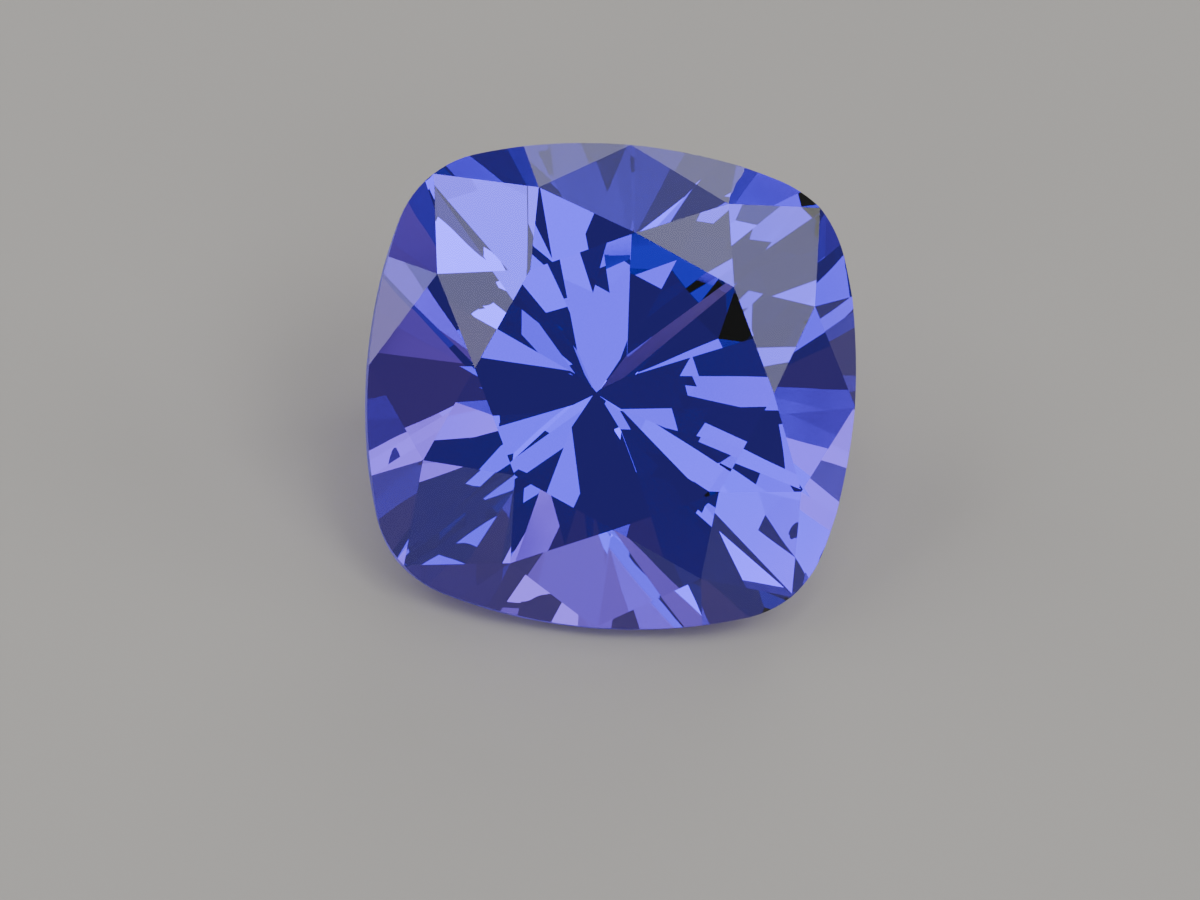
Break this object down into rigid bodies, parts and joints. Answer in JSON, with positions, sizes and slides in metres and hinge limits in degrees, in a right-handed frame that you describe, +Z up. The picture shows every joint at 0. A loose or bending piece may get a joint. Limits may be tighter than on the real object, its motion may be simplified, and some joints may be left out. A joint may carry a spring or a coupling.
{
  "type": "cushion cut tanzanite",
  "caption": "Faceted violet-blue gemstone with a rounded cushion outline and a flat table, for setting in jewellery or for display.",
  "frame": {"origin": "centre of the bounding box at the surface the stone lies on", "axes": "+Z up; the stone lies on its front pavilion main, its table leans up and towards -Y, and +X is along the girdle to the right as seen from -Y"},
  "size_m": [0.009, 0.0066, 0.0065],
  "materials": {
    "tanzanite_crystal": "polished"
  },
  "bodies": {
    "root": {"tanzanite": "tanzanite_crystal"}
  },
  "joints": []
}
